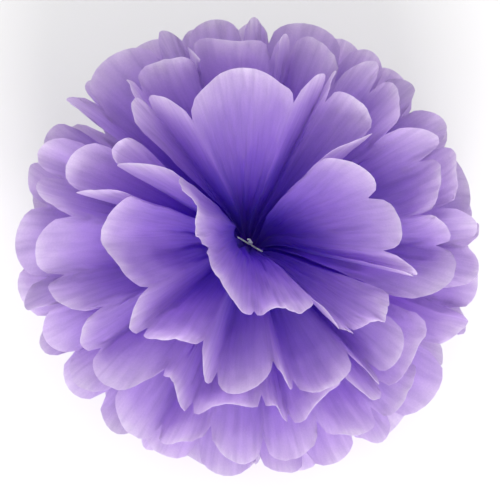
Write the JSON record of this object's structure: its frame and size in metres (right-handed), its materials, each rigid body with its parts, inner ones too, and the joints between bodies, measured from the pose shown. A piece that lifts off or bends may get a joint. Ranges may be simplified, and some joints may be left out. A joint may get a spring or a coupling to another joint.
{
  "type": "tissue paper pom pom",
  "caption": "Hanging tissue paper pom pom: thin sheets folded like an accordion, tied at the waist, cut round at both ends and opened into a ball of petals.",
  "frame": {"origin": "middle of the tie at the waist, which is the centre of the ball", "axes": "+Z out through the open heart of the flower, +X along the folded strip towards one of its two round-cut ends, +Y across the strip"},
  "size_m": [0.2486, 0.2552, 0.2342],
  "materials": {
    "lavender_tissue": "matt, thin and translucent, softly crinkled",
    "white_wire": "satin white coating"
  },
  "bodies": {
    "root": {"tissue_sheet_1": "lavender_tissue", "tissue_sheet_2": "lavender_tissue", "tissue_sheet_3": "lavender_tissue", "tissue_sheet_4": "lavender_tissue", "tissue_sheet_5": "lavender_tissue", "tissue_sheet_6": "lavender_tissue", "tissue_sheet_7": "lavender_tissue", "tissue_sheet_8": "lavender_tissue", "tie_wire": "white_wire"}
  },
  "joints": []
}
